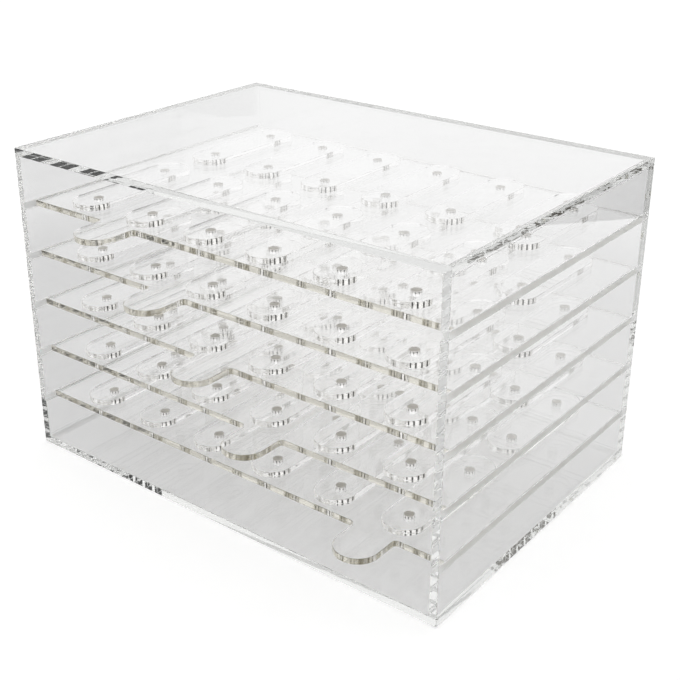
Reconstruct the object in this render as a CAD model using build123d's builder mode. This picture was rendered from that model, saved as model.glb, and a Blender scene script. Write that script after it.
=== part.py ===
"""Nail art storage box: an open-fronted clear case with five clear trays that slide out.

Every tray carries two rows of raised bars with round ends. Two round magnets for the feet of false
nails go down through each bar and through the sheet under it. All sizes are in millimetres. X runs
from left to right, Y from front to back and Z up. The origin is on the table, under the middle of
the whole box, tabs included.
"""

import os

from build123d import *

# The case: five flat panels bonded at their edges, with the front left open
case_width = 250.0
case_depth = 176.0
case_height = 162.0
case_sheet = 4.0
glue_film = 0.05  # adhesive left between two bonded pieces

# The trays and the grooves that carry them, counted from the top tray down
tray_count = 5
tray_pitch = 26.5
top_groove_drop = 26.9  # from the underside of the top panel down to the floor of the top groove
tray_sheet = 3.0
tray_setback = 7.5  # from the front of the case back to the front edge of a tray
tray_back_play = 0.5  # between a tray pushed home and the back panel
groove_depth = 1.5
groove_side_play = 0.4  # between the end of a tray and the bottom of its groove
groove_top_play = 0.7  # between a tray and the roof of its groove

# The finger tabs, one to a tray, each further along than the one above it
tab_width = 21.5
tab_reach = 23.0  # from the front edge of the tray to the tip of its tab
tab_root_radius = 2.0
tab_offsets = (-63.4, -33.0, -5.0, 24.5, 87.3)  # middle of each tab from the middle of the case

# The raised bars on a tray
bar_columns = 6
bar_width = 20.0
bar_sheet = 3.0
bar_side_margin = 18.0  # from the end of the tray to the nearest bar
bar_front_margin = 2.6  # from the front edge of the tray to the front row
bar_back_margin = 5.4  # from the rear row to the back edge of the tray
bar_row_gap = 11.0  # between the front row and the rear row
bar_gap = 0.05  # air left between a bar and the sheet it lies on

# The round magnets, two to a bar
magnet_diameter = 5.0
magnet_edge = 0.2  # broken edge at the rim of a magnet
magnet_sink = 0.1  # how far a magnet ends below the face of its bar, and above the tray's underside
magnet_inset = 13.55  # from the end of a bar to the middle of its magnet
bore_play = 0.05  # between a magnet and the wall of its bore, all round

# Places in the case
tab_overhang = tab_reach - tray_setback
whole_depth = case_depth + tab_overhang
case_front = tab_overhang - whole_depth / 2
case_back = case_front + case_depth
case_middle = (case_front + case_back) / 2
inner_width = case_width - 2 * case_sheet
wall_bottom = case_sheet + glue_film
wall_height = case_height - 2 * wall_bottom
wall_middle = wall_bottom + wall_height / 2

# Places of the grooves and trays
groove_height = tray_sheet + groove_top_play
top_groove_floor = case_height - case_sheet - top_groove_drop
groove_floors = [top_groove_floor - tray_pitch * level for level in range(tray_count)]
tray_width = inner_width + 2 * (groove_depth - groove_side_play)
tray_front = case_front + tray_setback
tray_back = case_back - case_sheet - tray_back_play
tray_depth = tray_back - tray_front

# Places of the bars and magnets, seen from above
bar_pitch = (tray_width - 2 * bar_side_margin - bar_width) / (bar_columns - 1)
bar_length = (tray_depth - bar_front_margin - bar_back_margin - bar_row_gap) / 2
front_row = tray_front + bar_front_margin + bar_length / 2
rear_row = tray_back - bar_back_margin - bar_length / 2
magnet_spacing = bar_length - 2 * magnet_inset
magnet_length = tray_sheet + bar_gap + bar_sheet - 2 * magnet_sink
bore_radius = magnet_diameter / 2 + bore_play

os.makedirs("parts", exist_ok=True)


# The top panel lies over both walls and the back panel
with BuildPart() as top_panel:
    with BuildSketch(Plane.XY.offset(case_height - case_sheet)):
        with Locations((0, case_middle)):
            Rectangle(case_width, case_depth)
    extrude(amount=case_sheet)
top_panel.part.label = "top_panel"
export_step(top_panel.part, "parts/top_panel.step")

# The bottom panel carries both walls and the back panel, and stands on the table
with BuildPart() as bottom_panel:
    with BuildSketch(Plane.XY):
        with Locations((0, case_middle)):
            Rectangle(case_width, case_depth)
    extrude(amount=case_sheet)
bottom_panel.part.label = "bottom_panel"
export_step(bottom_panel.part, "parts/bottom_panel.step")

# The back panel closes the case between the two walls
with BuildPart() as back_panel:
    with BuildSketch(Plane.XZ.offset(-case_back)):
        with Locations((0, wall_middle)):
            Rectangle(inner_width - 2 * glue_film, wall_height)
    extrude(amount=case_sheet)
back_panel.part.label = "back_panel"
export_step(back_panel.part, "parts/back_panel.step")


def grooved_wall(side):
    """One side wall, at the left for side -1 and at the right for side 1.

    Its section is drawn at the back of the case and pulled to the front, so each groove for the
    end of a tray is open at the front and runs the whole depth of the wall.
    """
    wall_x = side * (case_width - case_sheet) / 2
    groove_x = side * (inner_width + groove_depth) / 2
    groove_middles = [(groove_x, floor + groove_height / 2) for floor in groove_floors]
    with BuildPart() as wall:
        with BuildSketch(Plane.XZ.offset(-case_back)):
            with Locations((wall_x, wall_middle)):
                Rectangle(case_sheet, wall_height)
            with Locations(groove_middles):
                Rectangle(groove_depth, groove_height, mode=Mode.SUBTRACT)
        extrude(amount=case_depth)
    return wall


left_wall = grooved_wall(-1)
left_wall.part.label = "left_wall"
export_step(left_wall.part, "parts/left_wall.step")

right_wall = grooved_wall(1)
right_wall.part.label = "right_wall"
export_step(right_wall.part, "parts/right_wall.step")


def tray_plate(floor, tab_x):
    """The flat sheet of one tray, whose ends ride in the grooves, with its round finger tab.

    It has a bore for every magnet of both rows, in line with the bores of the bars.
    """
    tab_radius = tab_width / 2
    tab_straight = tab_reach - tab_radius
    with BuildPart() as plate:
        with BuildSketch(Plane.XY.offset(floor)) as outline:
            with Locations((0, (tray_front + tray_back) / 2)):
                Rectangle(tray_width, tray_depth)
            with Locations((tab_x, tray_front - tab_straight / 2)):
                Rectangle(tab_width, tab_straight)
            with Locations((tab_x, tray_front - tab_straight)):
                Circle(tab_radius)
            tab_roots = [
                corner
                for corner in outline.vertices()
                if abs(corner.Y - tray_front) < tab_root_radius
                and abs(corner.X - tab_x) < tab_width
            ]
            fillet(tab_roots, tab_root_radius)
            with Locations((0, front_row), (0, rear_row)):
                with GridLocations(bar_pitch, magnet_spacing, bar_columns, 2):
                    Circle(bore_radius, mode=Mode.SUBTRACT)
        extrude(amount=tray_sheet)
    return plate


def bar_row(face, row_y):
    """One row of raised bars lying on a tray, each with two bores for its magnets."""
    with BuildPart() as bars:
        with BuildSketch(Plane.XY.offset(face + bar_gap)):
            with Locations((0, row_y)):
                with GridLocations(bar_pitch, 0, bar_columns, 1):
                    SlotOverall(bar_length, bar_width, rotation=90)
                with GridLocations(bar_pitch, magnet_spacing, bar_columns, 2):
                    Circle(bore_radius, mode=Mode.SUBTRACT)
        extrude(amount=bar_sheet)
    return bars


def magnet_row(floor, row_y):
    """The magnets of one row of bars, two to a bar, which hold the bars to the tray."""
    with BuildPart() as magnets:
        with BuildSketch(Plane.XY.offset(floor + magnet_sink)):
            with Locations((0, row_y)):
                with GridLocations(bar_pitch, magnet_spacing, bar_columns, 2):
                    Circle(magnet_diameter / 2)
        extrude(amount=magnet_length)
        chamfer(magnets.edges().filter_by(GeomType.CIRCLE), magnet_edge)
    return magnets


# The trays from the top one down, each with its plate, its bars and its magnets
for number, (groove_floor, tab_offset) in enumerate(zip(groove_floors, tab_offsets), start=1):
    tray_face = groove_floor + tray_sheet

    plate = tray_plate(groove_floor, tab_offset)
    plate.part.label = f"tray_{number}_plate"
    export_step(plate.part, f"parts/tray_{number}_plate.step")

    for row_name, row_middle in (("front", front_row), ("rear", rear_row)):
        bars = bar_row(tray_face, row_middle)
        bars.part.label = f"tray_{number}_{row_name}_bars"
        export_step(bars.part, f"parts/tray_{number}_{row_name}_bars.step")

        magnets = magnet_row(groove_floor, row_middle)
        magnets.part.label = f"tray_{number}_{row_name}_magnets"
        export_step(magnets.part, f"parts/tray_{number}_{row_name}_magnets.step")

# What the maker reads off before cutting
print("box", case_width, "wide,", round(whole_depth, 2), "deep with its tabs,", case_height, "high")
print("tray", round(tray_width, 2), "by", round(tray_depth, 2), "with floors at", groove_floors)
print("bar", bar_width, "by", round(bar_length, 2), "every", round(bar_pitch, 2))
print("magnets", round(magnet_spacing, 2), "apart in a bar, in bores of radius", bore_radius)
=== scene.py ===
# %% [markdown]
# A clear box for nail art, with five clear trays that slide out of it.
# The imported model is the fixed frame: every piece has its real size and place there, in metres,
# and moves with a body of the frame. This lesson gives the pieces their looks: the polished
# acrylic, the plated magnets, the light that draws their edges, and the camera.

# %% Load the frame
import math

import bpy
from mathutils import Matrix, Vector


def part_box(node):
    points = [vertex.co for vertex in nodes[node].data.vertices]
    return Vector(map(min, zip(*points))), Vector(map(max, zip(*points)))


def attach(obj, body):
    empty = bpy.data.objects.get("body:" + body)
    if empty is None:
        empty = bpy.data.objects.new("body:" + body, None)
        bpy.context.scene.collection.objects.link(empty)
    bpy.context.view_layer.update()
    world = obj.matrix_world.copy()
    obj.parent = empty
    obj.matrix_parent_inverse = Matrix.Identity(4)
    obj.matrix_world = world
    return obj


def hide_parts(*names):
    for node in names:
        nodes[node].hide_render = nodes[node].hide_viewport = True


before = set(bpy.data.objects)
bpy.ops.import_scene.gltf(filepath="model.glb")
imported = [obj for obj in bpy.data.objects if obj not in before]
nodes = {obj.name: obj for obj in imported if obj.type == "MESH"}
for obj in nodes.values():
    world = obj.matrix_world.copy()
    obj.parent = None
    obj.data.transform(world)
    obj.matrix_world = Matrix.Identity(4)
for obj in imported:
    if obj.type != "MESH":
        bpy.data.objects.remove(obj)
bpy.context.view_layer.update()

scene = bpy.context.scene
bpy.ops.object.select_all(action="DESELECT")

# %% [markdown]
# The camera stands to the right of the box and above it. Its place, its turn and its long lens
# were worked out from the corners of the case, so a width of 250 mm lands where it should. The
# small shift moves the picture on the sensor, as cropping a photograph does.

# %% Camera
camera_place = (0.33573, -0.42031, 0.32071)
camera_turn = (66.637, -0.101, 37.996)  # degrees about X, Y and Z
sensor_width = 36.0  # millimetres
lens_length = 62.51  # millimetres
shift_right = 0.00945  # in widths of the picture
shift_up = -0.05942
nearest_seen = 0.01
camera_data = bpy.data.cameras.new("camera")
camera_data.sensor_width = sensor_width
camera_data.lens = lens_length
camera_data.shift_x = shift_right
camera_data.shift_y = shift_up
camera_data.clip_start = nearest_seen
camera = bpy.data.objects.new("camera", camera_data)
camera.location = camera_place
camera.rotation_euler = [math.radians(angle) for angle in camera_turn]
scene.collection.objects.link(camera)
scene.camera = camera
print("camera:", lens_length, "mm lens at", camera_place)

# %% [markdown]
# Every clear piece is cut from flat sheet, so each is made as on a bench: an outline is drawn
# flat, its corners are rounded, and it is pulled up to the thickness of the sheet. The first
# helpers open and close the edit mode, and pick vertices, edges or faces by where they lie.

# %% Helpers for editing
def millimetres(length):
    """A length in metres from one in millimetres."""
    return length / 1000


hair = millimetres(0.001)  # a length too small to matter, for comparing places


def begin_editing(piece):
    """Only this piece is selected, in edit mode, with all of it selected."""
    bpy.ops.object.select_all(action="DESELECT")
    piece.select_set(True)
    bpy.context.view_layer.objects.active = piece
    bpy.ops.object.mode_set(mode="EDIT")
    bpy.ops.mesh.select_all(action="SELECT")


def end_editing():
    """Back to object mode, with nothing selected."""
    bpy.ops.object.mode_set(mode="OBJECT")
    bpy.ops.object.select_all(action="DESELECT")


def pick(kind, chosen):
    """Select the vertices, edges or faces of the active piece whose middle passes the test."""
    bpy.ops.mesh.select_mode(type=kind)
    bpy.ops.mesh.select_all(action="DESELECT")
    bpy.ops.object.mode_set(mode="OBJECT")
    mesh = bpy.context.object.data
    if kind == "VERT":
        for vertex in mesh.vertices:
            vertex.select = chosen(vertex.co)
    elif kind == "EDGE":
        for edge in mesh.edges:
            ends = [mesh.vertices[index].co for index in edge.vertices]
            edge.select = chosen((ends[0] + ends[1]) / 2)
    else:
        for face in mesh.polygons:
            face.select = chosen(face.center)
    bpy.ops.object.mode_set(mode="EDIT")


print("edit helpers ready")

# %% [markdown]
# A sheet starts as a flat rectangle. It is pulled up to its thickness, and its sharp edges are
# broken with a chamfer of 0.15 mm, as a polisher leaves them. Those small faces catch the light
# as fine bright lines.

# %% Helpers for sheets
edge_break = millimetres(0.15)
sharp_fold = math.radians(40)  # an edge that folds more than this is broken
flat_fold = math.radians(1)  # an edge that folds less than this is only left over from a cut


def flat_outline(name, low, high):
    """A flat rectangle at the height of its lowest corner, with its place in its mesh."""
    bpy.ops.object.select_all(action="DESELECT")
    middle = [(bottom + top) / 2 for bottom, top in zip(low, high)]
    bpy.ops.mesh.primitive_plane_add(size=1, location=(middle[0], middle[1], low[2]))
    outline = bpy.context.object
    outline.name = name
    outline.data.name = name
    outline.scale = (high[0] - low[0], high[1] - low[1], 1)
    bpy.ops.object.transform_apply(location=True, rotation=True, scale=True)
    return outline


def pull(way):
    """Extrude the whole outline one way, and turn the faces of the result outwards."""
    bpy.ops.mesh.select_all(action="SELECT")
    bpy.ops.mesh.extrude_region_move(TRANSFORM_OT_translate={"value": way})
    bpy.ops.mesh.select_all(action="SELECT")
    bpy.ops.mesh.normals_make_consistent(inside=False)


def break_edges():
    """Chamfer every sharp edge of the piece in edit mode."""
    bpy.ops.mesh.select_mode(type="EDGE")
    bpy.ops.mesh.select_all(action="DESELECT")
    bpy.ops.mesh.edges_select_sharp(sharpness=sharp_fold)
    bpy.ops.mesh.bevel(offset=edge_break, offset_type="OFFSET", segments=1, affect="EDGES")


def panel(name, low, high):
    """A plain sheet between two corners, with its edges broken."""
    sheet = flat_outline(name, low, high)
    begin_editing(sheet)
    pull((0, 0, high[2] - low[2]))
    break_edges()
    end_editing()
    return sheet


print("edge break:", round(edge_break * 1000, 2), "mm")

# %% [markdown]
# Pieces are united or cut with Boolean modifiers, which are applied at once. What repeats is
# modelled once: its copies are set at their steps, each with a mesh of its own, and joined. A
# finished piece must be closed, or light would leak through it.

# %% Helpers for joining
round_fold = math.radians(30)  # a round wall folds less than this from face to face


def combine(piece, other, operation):
    """Unite two closed pieces or cut one with the other, and use the other up."""
    modifier = piece.modifiers.new("joint", "BOOLEAN")
    modifier.operation = operation
    modifier.solver = "EXACT"
    modifier.object = other
    bpy.context.view_layer.objects.active = piece
    bpy.ops.object.modifier_apply(modifier="joint")
    bpy.data.objects.remove(other, do_unlink=True)


def joined(name, model, steps):
    """Copies of a model, one at each step from it, joined into one piece."""
    bpy.ops.object.select_all(action="DESELECT")
    copies = []
    for step in steps:
        copy = bpy.data.objects.new(name, model.data.copy())
        scene.collection.objects.link(copy)
        copy.location = step
        copy.select_set(True)
        copies.append(copy)
    bpy.context.view_layer.objects.active = copies[0]
    bpy.ops.object.join()
    bpy.ops.object.transform_apply(location=True, rotation=True, scale=True)
    copies[0].name = name
    copies[0].data.name = name
    bpy.ops.object.select_all(action="DESELECT")
    return copies[0]


def closed(piece):
    """True if every edge of the piece has just two faces."""
    uses = {}
    for face in piece.data.polygons:
        for key in face.edge_keys:
            uses[key] = uses.get(key, 0) + 1
    return set(uses.values()) == {2}


def polish(piece):
    """Smooth the round walls and keep the corners sharp."""
    bpy.ops.object.select_all(action="DESELECT")
    piece.select_set(True)
    bpy.context.view_layer.objects.active = piece
    bpy.ops.object.shade_smooth_by_angle(angle=round_fold)
    bpy.ops.object.select_all(action="DESELECT")


print("join helpers ready")

# %% [markdown]
# The case is five sheets bonded with a solvent that melts their edges into one another. Light
# crosses such a joint as if it were not there, which it never does between two glass meshes with
# a gap. So the sheets are modelled apart, each with its own chamfers, and then united. The
# chamfers leave a fine groove along each joint, as on the real box.

# %% Sizes of the case
tray_count = 5
groove_depth = millimetres(1.5)
groove_play = millimetres(0.7)  # between the top of a tray and the roof of its groove
air_film = millimetres(0.05)  # the air that stays under a tray lying in its grooves
roof_low, roof_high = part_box("top_panel")
base_low, base_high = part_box("bottom_panel")
left_low, left_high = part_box("left_wall")
right_low, right_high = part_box("right_wall")
back_low, back_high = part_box("back_panel")
plate_boxes = [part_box(f"tray_{number}_plate") for number in range(1, tray_count + 1)]
grooves = [(low[2] - air_film, high[2] + groove_play) for low, high in plate_boxes]
print("grooves from", [round(floor * 1000, 2) for floor, roof in grooves], "mm up")


# %% A side wall with its grooves
def grooved_wall(name, low, high, side):
    """A side wall, left for side -1 and right for side 1, between the base and the roof.

    Its profile is drawn upright at the front, the grooves are cut out of it, and it is pulled
    to the back of the case.
    """
    inner_x = high[0] if side < 0 else low[0]
    groove_x = inner_x + side * groove_depth
    height = roof_low[2] - base_high[2]
    middle = ((low[0] + high[0]) / 2, low[1], base_high[2] + height / 2)
    bpy.ops.object.select_all(action="DESELECT")
    bpy.ops.mesh.primitive_plane_add(size=1, location=middle, rotation=(math.radians(90), 0, 0))
    wall = bpy.context.object
    wall.name = name
    wall.data.name = name
    wall.scale = (high[0] - low[0], height, 1)
    bpy.ops.object.transform_apply(location=True, rotation=True, scale=True)

    begin_editing(wall)
    bpy.ops.mesh.bisect(plane_co=(groove_x, 0, 0), plane_no=(1, 0, 0))
    for groove in grooves:
        for level in groove:
            bpy.ops.mesh.select_all(action="SELECT")
            bpy.ops.mesh.bisect(plane_co=(0, 0, level), plane_no=(0, 0, 1))
    pick("FACE", lambda face: (groove_x - face.x) * side > 0
         and any(floor < face.z < roof for floor, roof in grooves))
    bpy.ops.mesh.delete(type="FACE")
    bpy.ops.mesh.select_all(action="SELECT")
    bpy.ops.mesh.dissolve_limited(angle_limit=flat_fold)
    pull((0, high[1] - low[1], 0))
    break_edges()
    end_editing()
    return wall


left_sheet = grooved_wall("left_sheet", left_low, left_high, -1)
right_sheet = grooved_wall("right_sheet", right_low, right_high, 1)
print("walls closed:", closed(left_sheet), closed(right_sheet))

# %% The case
case = panel("clear_case", roof_low, roof_high)
base_sheet = panel("base_sheet", base_low, base_high)
back_sheet = panel("back_sheet", (left_high[0], back_low[1], base_high[2]),
                   (right_low[0], back_high[1], roof_low[2]))
for sheet in (base_sheet, left_sheet, right_sheet, back_sheet):
    combine(case, sheet, "UNION")
polish(case)
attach(case, "case")
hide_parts("top_panel", "bottom_panel", "left_wall", "right_wall", "back_panel")
print("case closed:", closed(case), "with", len(case.data.polygons), "faces")

# %% [markdown]
# A tray is one flat sheet with a round finger tab. Twelve clear bars lie on it in two rows, held
# by their magnets: each magnet goes down through its bar and through the sheet below. Only air
# lies between a bar and the sheet, so light that enters the rim of a bar stays in that bar and
# draws the magnet there, enlarged. Each magnet is glued into its bar. No air is left round it
# there, so its plated side shows through the bar. In the sheet below it stands in air, and the
# wall of the bore is a mirror that hides it.

# %% Sizes of the trays
bar_count = 6
bar_width = millimetres(20)
bar_front_margin = millimetres(2.6)  # from the front edge of a tray to its bars
magnet_diameter = millimetres(5)
magnet_rim = millimetres(0.25)
magnet_faces = 64
rim_steps = 4
bar_end_steps = 24
tab_steps = 24
tab_root_steps = 6
bore_excess = millimetres(2)  # how far a bore is cut beyond its magnet, at both ends
glued_excess = millimetres(1)  # and how far below it in a bar
bore_play = millimetres(0.05)
glue_bite = millimetres(0.01)  # how far the glue laps over the plating, so no air is left there
tab_root_radius = millimetres(2)
bars_low, bars_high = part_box("tray_1_front_bars")
pins_low, pins_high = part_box("tray_1_front_magnets")
bar_pitch = (bars_high[0] - bars_low[0] - bar_width) / (bar_count - 1)
magnet_x = bars_low[0] + bar_width / 2
magnet_y = pins_low[1] + magnet_diameter / 2
magnet_spacing = pins_high[1] - pins_low[1] - magnet_diameter
print("bars every", round(bar_pitch * 1000, 2), "mm, magnets", round(magnet_spacing * 1000, 2), "mm apart")


# %% One pair of magnets and their bores
def upright_pair(name, radius, low_z, high_z, rim):
    """Two upright cylinders, one for each magnet of the first bar, with their rims rounded."""
    bpy.ops.object.select_all(action="DESELECT")
    bpy.ops.mesh.primitive_cylinder_add(vertices=magnet_faces, radius=radius, depth=high_z - low_z,
                                        location=(magnet_x, magnet_y, (low_z + high_z) / 2))
    model = bpy.context.object
    bpy.ops.object.transform_apply(location=True, rotation=True, scale=True)
    if rim:
        begin_editing(model)
        pick("EDGE", lambda edge: edge.z < low_z + hair or edge.z > high_z - hair)
        bpy.ops.mesh.bevel(offset=rim, segments=rim_steps, affect="EDGES")
        end_editing()
    pair = joined(name, model, [(0, 0, 0), (0, magnet_spacing, 0)])
    bpy.data.objects.remove(model, do_unlink=True)
    return pair


magnet_pair = upright_pair("magnet_pair", magnet_diameter / 2, pins_low[2], pins_high[2], magnet_rim)
bore_pair = upright_pair("bore_pair", magnet_diameter / 2 + bore_play,
                         pins_low[2] - bore_excess, pins_high[2] + bore_excess, 0)
print("magnets closed:", closed(magnet_pair), "with", len(magnet_pair.data.polygons), "faces")

# %% One bar
bar = flat_outline("bar", bars_low, (bars_low[0] + bar_width, bars_high[1], bars_high[2]))
begin_editing(bar)
bpy.ops.mesh.bevel(offset=bar_width / 2, segments=bar_end_steps, affect="VERTICES")
bpy.ops.mesh.select_all(action="SELECT")
bpy.ops.mesh.remove_doubles(threshold=hair)
pull((0, 0, bars_high[2] - bars_low[2]))
break_edges()
end_editing()
glued_bores = upright_pair("glued_bores", magnet_diameter / 2 - glue_bite,
                           pins_low[2] - glued_excess, pins_high[2] + bore_excess, 0)
combine(bar, glued_bores, "DIFFERENCE")
print("bar closed:", closed(bar), "with", len(bar.data.polygons), "faces")


# %% The sheet of a tray
def plate_with_tab(number, front):
    """The flat sheet of a tray, drawn as a rectangle and a tab whose corners are then rounded."""
    low, high = plate_boxes[number - 1]
    tab_limit = (low[1] + front) / 2
    tab = [vertex.co.x for vertex in nodes[f"tray_{number}_plate"].data.vertices
           if vertex.co.y < tab_limit]
    tab_left = min(tab)
    tab_right = max(tab)
    plate = flat_outline(f"clear_tray_{number}", (low[0], front, low[2]), high)
    begin_editing(plate)
    for x in (tab_left, tab_right):
        bpy.ops.mesh.select_all(action="SELECT")
        bpy.ops.mesh.bisect(plane_co=(x, 0, 0), plane_no=(1, 0, 0))
    pick("EDGE", lambda edge: edge.y < front + hair and tab_left < edge.x < tab_right)
    bpy.ops.mesh.extrude_region_move(TRANSFORM_OT_translate={"value": (0, low[1] - front, 0)})
    bpy.ops.mesh.select_all(action="SELECT")
    bpy.ops.mesh.dissolve_limited(angle_limit=flat_fold)
    pick("VERT", lambda corner: corner.y < tab_limit)
    bpy.ops.mesh.bevel(offset=(tab_right - tab_left) / 2, segments=tab_steps, affect="VERTICES")
    pick("VERT", lambda corner: abs(corner.y - front) < hair
         and tab_left - hair < corner.x < tab_right + hair)
    bpy.ops.mesh.bevel(offset=tab_root_radius, segments=tab_root_steps, affect="VERTICES")
    bpy.ops.mesh.select_all(action="SELECT")
    bpy.ops.mesh.remove_doubles(threshold=hair)
    pull((0, 0, high[2] - low[2]))
    break_edges()
    end_editing()
    return plate


# %% The five trays
trays = []
bar_sets = []
magnet_sets = []
for number in range(1, tray_count + 1):
    steps = []
    for row in ("front", "rear"):
        row_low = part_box(f"tray_{number}_{row}_bars")[0]
        steps += [(bar_pitch * column, row_low[1] - bars_low[1], row_low[2] - bars_low[2])
                  for column in range(bar_count)]
    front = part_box(f"tray_{number}_front_bars")[0][1] - bar_front_margin
    plate = plate_with_tab(number, front)
    combine(plate, joined("bores", bore_pair, steps), "DIFFERENCE")
    trays.append(plate)
    bar_sets.append(joined(f"clear_bars_{number}", bar, steps))
    magnet_sets.append(joined(f"plated_magnets_{number}", magnet_pair, steps))
    print(plate.name, "closed:", closed(plate), "with", len(plate.data.polygons), "faces")
for model in (bar, magnet_pair, bore_pair):
    bpy.data.objects.remove(model, do_unlink=True)

# %% Each tray rides on its own body
for number, (plate, bars, magnets) in enumerate(zip(trays, bar_sets, magnet_sets), start=1):
    for piece in (plate, bars, magnets):
        polish(piece)
        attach(piece, f"tray_{number}")
    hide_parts(f"tray_{number}_plate")
    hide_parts(f"tray_{number}_front_bars", f"tray_{number}_rear_bars")
    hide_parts(f"tray_{number}_front_magnets", f"tray_{number}_rear_magnets")
print("bars and magnets closed:", all(closed(piece) for piece in bar_sets + magnet_sets))

# %% [markdown]
# Cast acrylic bends light with an index of 1.49, and takes a faint tint over a long way inside
# the sheet. Cast sheet is never quite flat: it swells and sinks by a few thousandths of a
# millimetre every centimetre. A noise gives that as a bump, which unsettles the reflections.
# The first helpers start a material and add the nodes that most of them need.

# %% Helpers for materials
def new_material(name):
    """A material with its nodes switched on."""
    material = bpy.data.materials.new(name)
    material.use_nodes = True
    return material


def surface_of(material):
    """The Principled node of a material."""
    return material.node_tree.nodes["Principled BSDF"]


def link(tree, pairs):
    """Link each output socket to its input socket."""
    for source, target in pairs:
        tree.links.new(source, target)


def noise(tree, scale, detail):
    """A noise with so many grains to a metre."""
    grains = tree.nodes.new("ShaderNodeTexNoise")
    grains.inputs["Scale"].default_value = scale
    grains.inputs["Detail"].default_value = detail
    return grains


def calculated(tree, operation, second=None):
    """A Math node, with its second value set where that is a constant."""
    result = tree.nodes.new("ShaderNodeMath")
    result.operation = operation
    if second is not None:
        result.inputs[1].default_value = second
    return result


def rescale(tree, source, target, interpolation="LINEAR"):
    """A node that turns one span of values into another."""
    span = tree.nodes.new("ShaderNodeMapRange")
    span.interpolation_type = interpolation
    span.inputs["From Min"].default_value = source[0]
    span.inputs["From Max"].default_value = source[1]
    span.inputs["To Min"].default_value = target[0]
    span.inputs["To Max"].default_value = target[1]
    return span


def colour_mix(tree, first, second):
    """A node that mixes two colours, where a colour of None comes from a link."""
    mixed = tree.nodes.new("ShaderNodeMix")
    mixed.data_type = "RGBA"
    for socket, colour in (("A", first), ("B", second)):
        if colour is not None:
            mixed.inputs[socket].default_value = colour
    return mixed


print("material helpers ready")

# %% Clear acrylic
acrylic_index = 1.49
case_tint = (0.88, 0.885, 0.875, 1)
tray_tint = (0.86, 0.845, 0.79, 1)
bar_tint = (0.88, 0.87, 0.84, 1)
case_haze = 5.0  # how fast the tint deepens inside the sheet
tray_haze = 9.0
bar_haze = 3.0
swells_to_metre = 110.0
swell_height = millimetres(0.003)


def tinted_inside(material, tint, haze):
    """Let a clear material take on a tint over a long way inside it."""
    tree = material.node_tree
    inside = tree.nodes.new("ShaderNodeVolumeAbsorption")
    inside.inputs["Color"].default_value = tint
    inside.inputs["Density"].default_value = haze
    link(tree, [(inside.outputs["Volume"], tree.nodes["Material Output"].inputs["Volume"])])


def clear_acrylic(name, tint, haze):
    """Cast acrylic of one tint, with slightly wavy faces."""
    material = new_material(name)
    surface = surface_of(material)
    surface.inputs["Base Color"].default_value = (1, 1, 1, 1)
    surface.inputs["Transmission Weight"].default_value = 1.0
    surface.inputs["IOR"].default_value = acrylic_index
    surface.inputs["Roughness"].default_value = 0.0
    tinted_inside(material, tint, haze)
    tree = material.node_tree
    place = tree.nodes.new("ShaderNodeTexCoord")
    swell = noise(tree, swells_to_metre, detail=1.0)
    bump = tree.nodes.new("ShaderNodeBump")
    bump.inputs["Distance"].default_value = swell_height
    link(tree, [(place.outputs["Object"], swell.inputs["Vector"]),
                (swell.outputs["Fac"], bump.inputs["Height"]),
                (bump.outputs["Normal"], surface.inputs["Normal"])])
    return material


case_acrylic = clear_acrylic("case_acrylic", case_tint, case_haze)
tray_acrylic = clear_acrylic("tray_acrylic", tray_tint, tray_haze)
bar_acrylic = clear_acrylic("bar_acrylic", bar_tint, bar_haze)
print("acrylics:", case_acrylic.name, tray_acrylic.name, bar_acrylic.name)

# %% [markdown]
# The trays and bars were cut by a beam, which leaves fine upright furrows on the edge. They are
# finer than a pixel, so they show as a faint dullness: what lies far inside the sheet is blurred
# in the edge, and what lies close to it stays sharp. The edges are found by their normal, which
# lies flat. The edges of the case are polished, and stay clear.

# %% Cut edges of the trays and bars
tray_dullness = 0.05
bar_dullness = 0.03
furrows_to_metre = 1400.0
furrow_stretch = 0.03  # how far a furrow is drawn out upright
edge_tilt = (0.3, 0.6)  # a face turns from cut to cast between these heights of its normal


def cut_by_beam(material, dullness):
    """Dull the upright faces of a clear material, and furrow them in place of their swell."""
    tree = material.node_tree
    place = tree.nodes["Texture Coordinate"]
    facing = tree.nodes.new("ShaderNodeSeparateXYZ")
    upright = calculated(tree, "ABSOLUTE")
    dull = rescale(tree, edge_tilt, (dullness, 0.0))
    stretch = tree.nodes.new("ShaderNodeMapping")
    stretch.inputs["Scale"].default_value = (1.0, 1.0, furrow_stretch)
    furrows = noise(tree, furrows_to_metre, detail=2.0)
    height = tree.nodes.new("ShaderNodeMix")
    link(tree, [(place.outputs["Normal"], facing.inputs["Vector"]),
                (facing.outputs["Z"], upright.inputs[0]),
                (upright.outputs["Value"], dull.inputs["Value"]),
                (dull.outputs["Result"], surface_of(material).inputs["Roughness"]),
                (place.outputs["Object"], stretch.inputs["Vector"]),
                (stretch.outputs["Vector"], furrows.inputs["Vector"]),
                (upright.outputs["Value"], height.inputs["Factor"]),
                (furrows.outputs["Fac"], height.inputs["A"]),
                (tree.nodes["Noise Texture"].outputs["Fac"], height.inputs["B"]),
                (height.outputs["Result"], tree.nodes["Bump"].inputs["Height"])])


cut_by_beam(tray_acrylic, tray_dullness)
cut_by_beam(bar_acrylic, bar_dullness)
print("furrows on the edges of", tray_acrylic.name, "and", bar_acrylic.name)

# %% [markdown]
# The milled grooves aren't polished, so they look frosted, and light that reaches them inside a
# wall is scattered.

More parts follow.
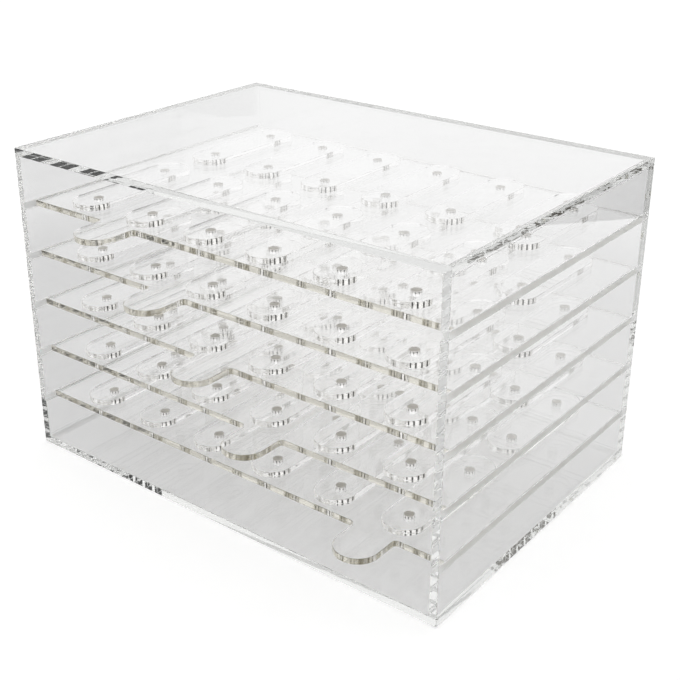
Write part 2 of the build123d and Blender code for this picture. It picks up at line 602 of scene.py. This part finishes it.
# %% Groove frost
frost_white = (0.97, 0.97, 0.97, 1)
frost_clearness = 0.7
frost_roughness = (0.35, 0.50)
marks_to_metre = 600.0
frost = new_material("groove_frost")
frost_tree = frost.node_tree
frost_surface = surface_of(frost)
frost_surface.inputs["Base Color"].default_value = frost_white
frost_surface.inputs["Transmission Weight"].default_value = frost_clearness
frost_surface.inputs["IOR"].default_value = acrylic_index
tinted_inside(frost, case_tint, case_haze)
frost_place = frost_tree.nodes.new("ShaderNodeTexCoord")
cutter_marks = noise(frost_tree, marks_to_metre, detail=2.0)
frost_rough = rescale(frost_tree, (0.0, 1.0), frost_roughness)
link(frost_tree, [(frost_place.outputs["Object"], cutter_marks.inputs["Vector"]),
                  (cutter_marks.outputs["Fac"], frost_rough.inputs["Value"]),
                  (frost_rough.outputs["Result"], frost_surface.inputs["Roughness"])])
print("frost:", frost.name)


# %% Frosted grooves
def in_groove(face):
    """True for the middle of a face of a groove, and not for the ends of the wall."""
    depth = abs(face.x) - right_low[0]
    return (hair < depth < groove_depth + hair
            and left_low[1] + edge_break < face.y < left_high[1] - edge_break
            and any(floor - hair < face.z < roof + hair for floor, roof in grooves))


case.data.materials.clear()
case.data.materials.append(case_acrylic)
case.data.materials.append(frost)
begin_editing(case)
pick("FACE", in_groove)
case.active_material_index = 1
bpy.ops.object.material_slot_assign()
end_editing()
print("frosted faces:", sum(face.material_index == 1 for face in case.data.polygons))

# %% [markdown]
# The magnets are plated with bright nickel. A round mirror that small shows the whole room
# squeezed into thin upright bands, light and dark. Those bands are painted reflections, drawn
# into the colour of the side by the bearing of the normal, so they stay on the magnet. The flat
# faces are painted a darker grey than the sides, for the dimmer reflection they show; that grey
# varies in spots, and the faces are duller.

# %% Magnet plating
plating = new_material("magnet_plating")
plating_tree = plating.node_tree
plating_surface = surface_of(plating)
plating_surface.inputs["Metallic"].default_value = 1.0
shape = plating_tree.nodes.new("ShaderNodeTexCoord")
facing = plating_tree.nodes.new("ShaderNodeSeparateXYZ")
link(plating_tree, [(shape.outputs["Normal"], facing.inputs["Vector"])])
print("plating:", plating.name)

# %% Painted reflections: bands on the side of a magnet
bands_round_magnet = 10.0
band_edge = (0.40, 0.80)  # a band darkens between these heights of its wave
light_band = (0.95, 0.94, 0.92, 1)
# The dark bands are painted reflections of the room, drawn into the colour of the side.
painted_dark_reflection = (0.05, 0.05, 0.045, 1)
bearing = calculated(plating_tree, "ARCTAN2")
turns = calculated(plating_tree, "MULTIPLY", bands_round_magnet)
wave = calculated(plating_tree, "SINE")
band = rescale(plating_tree, band_edge, (0.0, 1.0))
side_colour = colour_mix(plating_tree, light_band, painted_dark_reflection)
link(plating_tree, [(facing.outputs["Y"], bearing.inputs[0]),
                    (facing.outputs["X"], bearing.inputs[1]),
                    (bearing.outputs["Value"], turns.inputs[0]),
                    (turns.outputs["Value"], wave.inputs[0]),
                    (wave.outputs["Value"], band.inputs["Value"]),
                    (band.outputs["Result"], side_colour.inputs["Factor"])])
print("bands round a magnet:", bands_round_magnet)

# %% Painted darker face of a magnet
face_edge = (0.90, 0.99)  # the rim turns into the face between these heights of its normal
wear_to_metre = 900.0
# The face is painted darker than the bright side of the same plating, for the dimmer reflection it shows;
# the noise varies that grey in spots.
dark_face_grey = (0.30, 0.285, 0.255, 1)
bright_grey = (0.60, 0.58, 0.54, 1)
side_and_face_roughness = (0.10, 0.28)
wear = noise(plating_tree, wear_to_metre, detail=4.0)
painted_face_colour = colour_mix(plating_tree, dark_face_grey, bright_grey)
on_face = rescale(plating_tree, face_edge, (0.0, 1.0))
colour = colour_mix(plating_tree, None, None)
gloss = rescale(plating_tree, (0.0, 1.0), side_and_face_roughness)
link(plating_tree, [(facing.outputs["Z"], on_face.inputs["Value"]),
                    (shape.outputs["Object"], wear.inputs["Vector"]),
                    (wear.outputs["Fac"], painted_face_colour.inputs["Factor"]),
                    (on_face.outputs["Result"], colour.inputs["Factor"]),
                    (side_colour.outputs["Result"], colour.inputs["A"]),
                    (painted_face_colour.outputs["Result"], colour.inputs["B"]),
                    (colour.outputs["Result"], plating_surface.inputs["Base Color"]),
                    (on_face.outputs["Result"], gloss.inputs["Value"]),
                    (gloss.outputs["Result"], plating_surface.inputs["Roughness"])])
print("spots of wear:", wear_to_metre, "to a metre")

# %% Give each piece its material
finishes = [(trays, tray_acrylic), (bar_sets, bar_acrylic), (magnet_sets, plating)]
for pieces, material in finishes:
    for piece in pieces:
        piece.data.materials.clear()
        piece.data.materials.append(material)
    print(material.name, "on", len(pieces), "pieces")

# %% [markdown]
# The box stands on white paper, which shows its soft shadow. The little emission is for what the
# camera sees straight or in the acrylic and the magnets, and lights nothing.

# %% Floor
floor_size = 12
floor_drop = millimetres(0.5)
floor_glow = 0.12
paper_white = (0.95, 0.95, 0.95, 1)


def matt(name, colour):
    """A matt material of one colour, for what stands round the box."""
    material = new_material(name)
    surface = surface_of(material)
    surface.inputs["Base Color"].default_value = colour
    surface.inputs["Roughness"].default_value = 1.0
    return material


bpy.ops.mesh.primitive_plane_add(size=floor_size, location=(0, 0, -floor_drop))
floor = bpy.context.object
floor.name = "floor"
white = matt("white_paper", paper_white)
white_tree = white.node_tree
white_surface = surface_of(white)
white_surface.inputs["Specular IOR Level"].default_value = 0.0
white_surface.inputs["Emission Color"].default_value = (1, 1, 1, 1)
path = white_tree.nodes.new("ShaderNodeLightPath")
bent = calculated(white_tree, "MAXIMUM")
seen = calculated(white_tree, "MAXIMUM")
lift = calculated(white_tree, "MULTIPLY", floor_glow)
link(white_tree, [(path.outputs["Is Glossy Ray"], bent.inputs[0]),
                  (path.outputs["Is Transmission Ray"], bent.inputs[1]),
                  (bent.outputs["Value"], seen.inputs[0]),
                  (path.outputs["Is Camera Ray"], seen.inputs[1]),
                  (seen.outputs["Value"], lift.inputs[0]),
                  (lift.outputs["Value"], white_surface.inputs["Emission Strength"])])
floor.data.materials.append(white)
print("floor:", white.name)

# %% [markdown]
# In front of a white background alone, clear acrylic all but vanishes. The shadow of the box,
# where the acrylic shows the floor under it and behind it, is painted on a grey card that only
# the acrylic shows. It lies on the floor under the box and behind it. Its painted shadow is grey
# near the box, a little darker to its left, and paler far away. The camera and the floor don't
# see it.

# %% Grey card with a painted shadow
card_front = 0.20  # from the middle of the box to the front of the card, in metres
card_length = 6.0
card_drop = millimetres(0.3)
card_turn = math.radians(38)  # its front edge is square to the view
card_way = Vector((-math.sin(card_turn), math.cos(card_turn), 0))
card_middle = card_way * (card_length / 2 - card_front) - Vector((0, 0, card_drop))


def only_in_acrylic(card):
    """Hide a card from the camera and the floor, and let it cast no shadow."""
    card.visible_camera = False
    card.visible_diffuse = False
    card.visible_shadow = False


bpy.ops.mesh.primitive_plane_add(size=card_length, location=card_middle, rotation=(0, 0, card_turn))
shadow_card = bpy.context.object
shadow_card.name = "shadow_card"
bpy.ops.object.transform_apply(location=True, rotation=True, scale=True)
only_in_acrylic(shadow_card)
print("grey card:", card_length, "m long, from", card_front, "m before the middle of the box")

# %% Painted shadow on the grey card
# The grey of the card is a painted shadow of the box: darkest round this place, paler far away, and a
# little darker to the left.
shadow_middle = (-0.03, 0.02, 0.0)
pale_span = (0.32, 0.45)  # how far away from there the card turns from grey to pale
shadow_grey_and_pale = (0.77, 0.88)
left_span = (-0.16, 0.0)  # metres to the right of the middle, from darkened to plain
left_and_right = (0.90, 1.0)
grey = new_material("shadow_card")
grey_tree = grey.node_tree
grey_surface = surface_of(grey)
grey_surface.inputs["Roughness"].default_value = 1.0
grey_surface.inputs["Specular IOR Level"].default_value = 0.0
place = grey_tree.nodes.new("ShaderNodeTexCoord")
away = grey_tree.nodes.new("ShaderNodeVectorMath")
away.operation = "DISTANCE"
away.inputs[1].default_value = shadow_middle
shade = rescale(grey_tree, pale_span, shadow_grey_and_pale, "SMOOTHSTEP")
rightward = grey_tree.nodes.new("ShaderNodeVectorMath")
rightward.operation = "DOT_PRODUCT"
rightward.inputs[1].default_value = (math.cos(card_turn), math.sin(card_turn), 0)
shadow_to_left = rescale(grey_tree, left_span, left_and_right, "SMOOTHSTEP")
painted_shadow_tone = calculated(grey_tree, "MULTIPLY")
link(grey_tree, [(place.outputs["Object"], away.inputs[0]),
                 (away.outputs["Value"], shade.inputs["Value"]),
                 (place.outputs["Object"], rightward.inputs[0]),
                 (rightward.outputs["Value"], shadow_to_left.inputs["Value"]),
                 (shadow_to_left.outputs["Result"], painted_shadow_tone.inputs[0]),
                 (shade.outputs["Result"], painted_shadow_tone.inputs[1]),
                 (painted_shadow_tone.outputs["Value"], grey_surface.inputs["Base Color"])])
shadow_card.data.materials.append(grey)
print("grey from", shadow_grey_and_pale[0], "to", shadow_grey_and_pale[1])

# %% [markdown]
# White light comes evenly from all round. Dark cards stand behind the box to the right, and in
# front of it to the left, where some are narrow strips, out of the camera's sight. The polished
# edges carry their reflections round the sheets, and show them as dark dashes.

# %% World
world = bpy.data.worlds.new("studio")
scene.world = world
world.use_nodes = True
background = world.node_tree.nodes["Background"]
background.inputs["Color"].default_value = (1, 1, 1, 1)
background.inputs["Strength"].default_value = 1.0
print("world strength:", background.inputs["Strength"].default_value)

# %% Dark cards
card_black = (0.01, 0.01, 0.01, 1)
card_brown = (0.11, 0.10, 0.085, 1)
black = matt("black_card", card_black)
brown = matt("brown_card", card_brown)


def dark_card(name, material, bearing, distance, width, low_z, high_z):
    """A dark card facing the box, at a bearing in degrees from straight behind to the right."""
    turn = math.radians(bearing)
    middle = (distance * math.sin(turn), distance * math.cos(turn), (low_z + high_z) / 2)
    bpy.ops.object.select_all(action="DESELECT")
    bpy.ops.mesh.primitive_plane_add(size=1, location=middle, rotation=(math.radians(90), 0, -turn))
    card = bpy.context.object
    card.name = name
    card.scale = (width, high_z - low_z, 1)
    card.data.materials.append(material)
    only_in_acrylic(card)
    print(name, "at", bearing, "degrees,", distance, "m away")


far = 2.5
near = 0.50
dark_card("wide_card", black, 49.5, far, 0.57, 0.52, 1.38)
dark_card("tall_card", black, 46.25, far, 0.284, 1.38, 1.90)
dark_card("low_card", black, 51.0, near, 0.50, 0.0, 0.06)
dark_card("front_card", brown, -149.5, far, 0.14, 1.65, 1.83)

# %% Dark strips
strip_count = 14
strip_length = 0.66
strip_width = 0.011
strip_pitch = 0.0225
lowest_strip = 0.84
for strip in range(strip_count):
    strip_low = lowest_strip + strip_pitch * strip
    dark_card(f"front_strip_{strip + 1}", brown, -152.5, far, strip_length,
              strip_low, strip_low + strip_width)

# %% [markdown]
# A striped card lies on the table in front of the box, to its left, where the light from the
# right-hand edges comes down. It shows only to light that has been reflected a few times inside
# a sheet, so it draws fine dashes in the edges and isn't seen through a tray pulled out over it.

# %% Striped card
stripes_low = (-0.35, -0.45)
stripes_high = (0.0, -0.20)
stripes_lift = millimetres(1)
stripes_middle = [(low + high) / 2 for low, high in zip(stripes_low, stripes_high)]
bpy.ops.object.select_all(action="DESELECT")
bpy.ops.mesh.primitive_plane_add(size=1, location=(*stripes_middle, stripes_lift))
striped_card = bpy.context.object
striped_card.name = "striped_card"
striped_card.scale = (stripes_high[0] - stripes_low[0], stripes_high[1] - stripes_low[1], 1)
bpy.ops.object.transform_apply(location=True, rotation=True, scale=True)
only_in_acrylic(striped_card)
print("striped card from", stripes_low, "to", stripes_high)

# %% Stripes
stripe_pitch = millimetres(9)
fewest_reflections = 3
stripes = matt("striped_card", card_brown)
stripes_tree = stripes.node_tree
across = stripes_tree.nodes.new("ShaderNodeTexCoord")
split = stripes_tree.nodes.new("ShaderNodeSeparateXYZ")
phase = calculated(stripes_tree, "MULTIPLY", 2 * math.pi / stripe_pitch)
ripple = calculated(stripes_tree, "SINE")
stripe = calculated(stripes_tree, "GREATER_THAN", 0.0)
route = stripes_tree.nodes.new("ShaderNodeLightPath")
reflected = calculated(stripes_tree, "GREATER_THAN", fewest_reflections - 0.5)
shown = calculated(stripes_tree, "MULTIPLY")
link(stripes_tree, [(across.outputs["Object"], split.inputs["Vector"]),
                    (split.outputs["X"], phase.inputs[0]),
                    (phase.outputs["Value"], ripple.inputs[0]),
                    (ripple.outputs["Value"], stripe.inputs[0]),
                    (route.outputs["Glossy Depth"], reflected.inputs[0]),
                    (stripe.outputs["Value"], shown.inputs[0]),
                    (reflected.outputs["Value"], shown.inputs[1]),
                    (shown.outputs["Value"], surface_of(stripes).inputs["Alpha"])])
striped_card.data.materials.append(stripes)
print("stripes every", round(stripe_pitch * 1000, 2), "mm")

# %% [markdown]
# Light goes to and fro many times inside a polished sheet before it leaves, so the paths may be
# long.

# %% Light paths
most_bounces = 200
most_clear_steps = 32
scene.cycles.max_bounces = most_bounces
scene.cycles.transmission_bounces = most_bounces
scene.cycles.glossy_bounces = most_bounces
scene.cycles.transparent_max_bounces = most_clear_steps
scene.cycles.blur_glossy = 0
scene.view_settings.view_transform = "Standard"
print("bounces:", scene.cycles.max_bounces)
